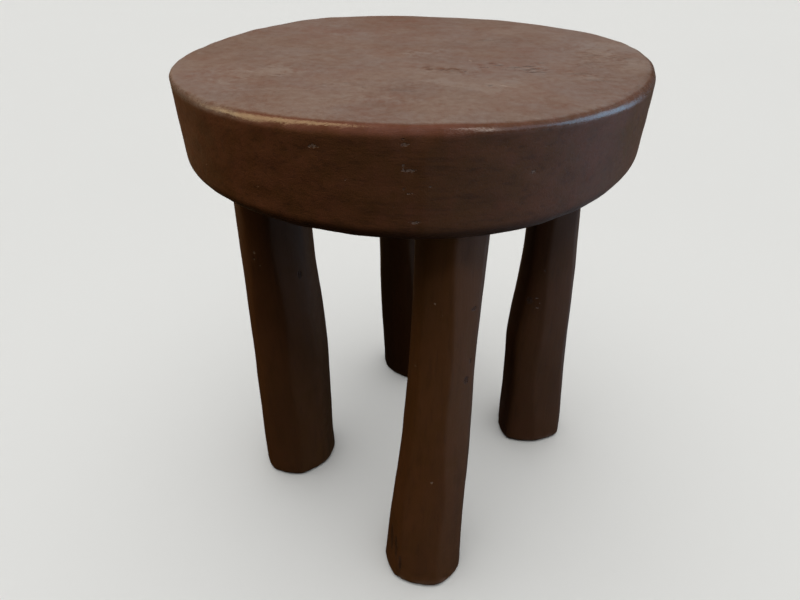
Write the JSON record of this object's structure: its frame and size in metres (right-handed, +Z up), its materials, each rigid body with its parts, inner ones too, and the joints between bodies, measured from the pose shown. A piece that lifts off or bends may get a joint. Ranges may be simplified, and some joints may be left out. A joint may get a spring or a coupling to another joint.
{
  "type": "stool",
  "caption": "Low round stool: a thick hand-carved hardwood seat on stout, slightly crooked hewn legs, each tenoned into a blind socket and wedged.",
  "frame": {"origin": "on the floor, under the seat's centre", "axes": "+Z up from the floor to the seat, -Y towards the front leg, +X towards the right leg"},
  "size_m": [0.3346, 0.334, 0.393],
  "materials": {
    "seat_wood": "dark stained, waxed satin",
    "leg_wood": "dark stained, waxed satin",
    "wedge_wood": "raw split hardwood"
  },
  "bodies": {
    "root": {"seat": "seat_wood", "front_leg": "leg_wood", "left_leg": "leg_wood", "right_leg": "leg_wood", "back_leg": "leg_wood", "front_wedge": "wedge_wood", "left_wedge": "wedge_wood", "right_wedge": "wedge_wood", "back_wedge": "wedge_wood"}
  },
  "joints": []
}
